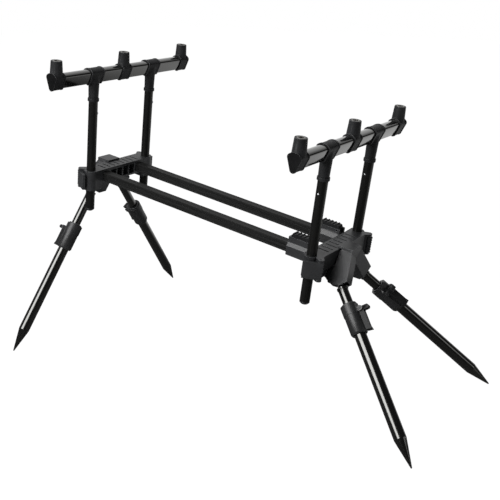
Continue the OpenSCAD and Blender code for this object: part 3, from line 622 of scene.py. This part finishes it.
def thread_maker():
    """Thread ridges of the posts in a row, each a helix on the wall of its bore."""
    tree, size, end = new_maker("thread_turns", {
        "Post pitch": "length", "Bore radius": "length", "Thread pitch": "length", "Ridge": "length",
        "Turns": "count", "Finish": "finish"})
    wire = Wire(tree)
    helix = wire.node("GeometryNodeCurveSpiral", {}, {
        "Resolution": TURN_POINTS, "Rotations": size["Turns"], "Start Radius": size["Bore radius"],
        "End Radius": size["Bore radius"], "Height": size["Thread pitch"] * size["Turns"]})
    ridge = wire.node("GeometryNodeCurvePrimitiveCircle", {"mode": "RADIUS"}, {
        "Resolution": RIDGE_SIDES, "Radius": size["Ridge"]})
    turns = wire.node("GeometryNodeCurveToMesh", {}, {
        "Curve": helix, "Profile Curve": ridge, "Fill Caps": True})
    posts = wire.node("GeometryNodeMeshLine", {}, {
        "Count": POSTS, "Start Location": along_x(wire, size["Post pitch"] * -1.0),
        "Offset": along_x(wire, size["Post pitch"])})
    row = wire.node("GeometryNodeInstanceOnPoints", {}, {"Points": posts, "Instance": turns})
    close_maker(row, size["Finish"], end)
    return tree


def grown(name, maker, values, place, body):
    """Piece that a geometry tree makes, turned into a plain mesh and put in its place."""
    seed = new_object(name + "_seed", bpy.data.meshes.new(name))
    growth = seed.modifiers.new("growth", "NODES")
    growth.node_group = maker
    for item in maker.interface.items_tree:
        if item.in_out == "INPUT":
            growth[item.identifier] = values[item.name]
    shaped = seed.evaluated_get(bpy.context.evaluated_depsgraph_get())
    mesh = bpy.data.meshes.new_from_object(shaped)
    bpy.data.objects.remove(seed)
    mesh.materials.clear()
    mesh.materials.append(values["Finish"])
    for face in mesh.polygons:
        face.material_index = 0
        face.use_smooth = True
    mesh.transform(place)
    mesh.set_sharp_from_angle(angle=STEEP)
    piece = new_object(name, mesh)
    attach(piece, body)
    return piece


def bar_corners():
    """Shoulder, keel and crown of the unrounded bar section, and the crown's radius, in millimetres."""
    shoulder = BAR_WIDTH / 2 - BAR_CORNER
    crown_r = (shoulder ** 2 + BAR_CROWN ** 2) / (2 * BAR_CROWN)
    crown_low = BAR_CROWN - crown_r
    flank = Vector((BAR_DEPTH - BAR_CROWN - 2 * BAR_CORNER, -shoulder)).normalized()
    flank_at = flank.x * shoulder + BAR_CORNER
    slope = Vector((shoulder, -crown_low)).normalized()
    slope_at = slope.y * crown_low + crown_r + BAR_CORNER
    area = flank.x * slope.y - flank.y * slope.x
    corner_x = (flank_at * slope.y - flank.y * slope_at) / area
    corner_z = (flank.x * slope_at - slope.x * flank_at) / area
    return (corner_x, corner_z), flank_at / flank.y, slope_at / slope.y, crown_r + BAR_CORNER


def grow_bars():
    """Swept bars in place of the CAD ones, and thread turns in their posts."""
    (corner_x, corner_z), keel, crown, crown_r = bar_corners()
    bar_maker = swept_bar_maker()
    turn_maker = thread_maker()
    for end, sign in ENDS.items():
        at = sign * END_SPACING / 2
        level = (POST_TOP[end] - BAR_TO_POST_TOP) * MM
        bar = grown(f"{end}_bar_piece", bar_maker, {
            "Length": BAR_LENGTH[end] * MM,
            "Left shoulder": (corner_x * MM, -corner_z * MM, 0), "Keel": (0, -keel * MM, 0),
            "Right shoulder": (-corner_x * MM, -corner_z * MM, 0), "Crown": (0, -crown * MM, 0),
            "Corner radius": BAR_CORNER * MM, "Crown radius": crown_r * MM,
            "Flank middle": FLANK_MIDDLE * MM, "Flank half": FLANK_HALF * MM,
            "Flank bulge": FLANK_BULGE * MM, "Finish": FINISHES["bar_gloss"],
        }, POD @ Matrix.Translation((0, at, level)), f"{end}_bar_set")
        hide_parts(f"{end}_bar")
        foot = (POST_TOP[end] - INSERT_LENGTH) * MM
        grown(f"{end}_thread_turns", turn_maker, {
            "Post pitch": POST_PITCH[end] * MM, "Bore radius": THREAD_BORE_R * MM,
            "Thread pitch": THREAD_PITCH * MM, "Ridge": THREAD_RIDGE * MM,
            "Turns": int(INSERT_LENGTH / THREAD_PITCH), "Finish": FINISHES["nickel"],
        }, POD @ Matrix.Translation((0, at, foot)), f"{end}_bar_set")


def ray_shares(wire):
    """Share of camera rays, and of mirror and glass rays, among those that meet the studio."""
    path = wire.tree.nodes.new("ShaderNodeLightPath")
    camera, gloss, glass = [Wire(wire.tree, path.outputs[name]) for name in
                            ("Is Camera Ray", "Is Glossy Ray", "Is Transmission Ray")]
    return camera, wire.maths("ADD", gloss, glass, clamp=True)


def backdrop_level(wire, place, side, low, high, bright):
    """Bright towards one side, falling to the dark of the room on the other."""
    towards = wire.node("ShaderNodeVectorMath", {"operation": "DOT_PRODUCT"}, {0: place, 1: side}, "Value")
    return ROOM_DARK + (bright - ROOM_DARK) * towards.step(low, high)


def make_floor():
    """Pale floor that the camera sees as white."""
    mesh = bpy.data.meshes.new("floor")
    corners = [(x * FLOOR_HALF, y * FLOOR_HALF, 0) for x, y in ((-1, -1), (1, -1), (1, 1), (-1, 1))]
    mesh.from_pydata(corners, [], [(0, 1, 2, 3)])
    floor = new_object("floor", mesh)
    material = bpy.data.materials.new("studio_floor")
    material.use_nodes = True
    tree = material.node_tree
    tree.nodes.clear()
    wire = Wire(tree)
    camera, mirror = ray_shares(wire)
    place = wire.node("ShaderNodeTexCoord", output="Object")
    matt = wire.node("ShaderNodeBsdfDiffuse", {}, {"Color": grey(FLOOR_GREY)})
    level = camera * FLOOR_WHITE + mirror * backdrop_level(wire, place, **FLOOR_BACKDROP)
    glow = wire.node("ShaderNodeEmission", {}, {"Color": grey(1.0), "Strength": level})
    share = (camera + mirror) * FLOOR_GLOW
    surface = wire.node("ShaderNodeMixShader", {}, {0: share, 1: matt, 2: glow})
    output = tree.nodes.new("ShaderNodeOutputMaterial")
    surface.to(output.inputs["Surface"])
    mesh.materials.append(material)


def make_world():
    """White to the camera, the backdrop in mirrors, and soft light on the rest."""
    world = bpy.data.worlds.new("studio")
    bpy.context.scene.world = world
    world.use_nodes = True
    tree = world.node_tree
    tree.nodes.clear()
    wire = Wire(tree)
    camera, mirror = ray_shares(wire)
    way = wire.node("ShaderNodeTexCoord", output="Generated")
    backdrop = backdrop_level(wire, way, **WORLD_BACKDROP)
    level = camera + mirror * backdrop + (1 - camera) * (1 - mirror) * SOFT_LEVEL
    surface = wire.node("ShaderNodeBackground", {}, {"Color": grey(1.0), "Strength": level})
    output = tree.nodes.new("ShaderNodeOutputWorld")
    surface.to(output.inputs["Surface"])


def make_softbox(name, at, width, height, power):
    light = bpy.data.lights.new(name, "AREA")
    light.shape = "RECTANGLE"
    light.size = width
    light.size_y = height
    light.energy = power
    box = new_object(name, light)
    box.location = at
    box.rotation_euler = (Vector(LIGHT_AIM) - Vector(at)).to_track_quat("-Z", "Y").to_euler()


def make_camera():
    camera = new_object("camera", bpy.data.cameras.new("camera"))
    camera.location = CAMERA_AT
    camera.rotation_euler = Euler([math.radians(turn) for turn in CAMERA_TURN])
    camera.data.lens = CAMERA_LENS
    camera.data.sensor_width = CAMERA_SENSOR
    camera.data.clip_start, camera.data.clip_end = CAMERA_CLIP
    bpy.context.scene.camera = camera


def make_studio():
    make_floor()
    make_world()
    for name, box in SOFTBOXES.items():
        make_softbox(name, **box)
    make_camera()
    bpy.context.scene.view_settings.view_transform = "Standard"


dress_all()
grow_bars()
make_studio()
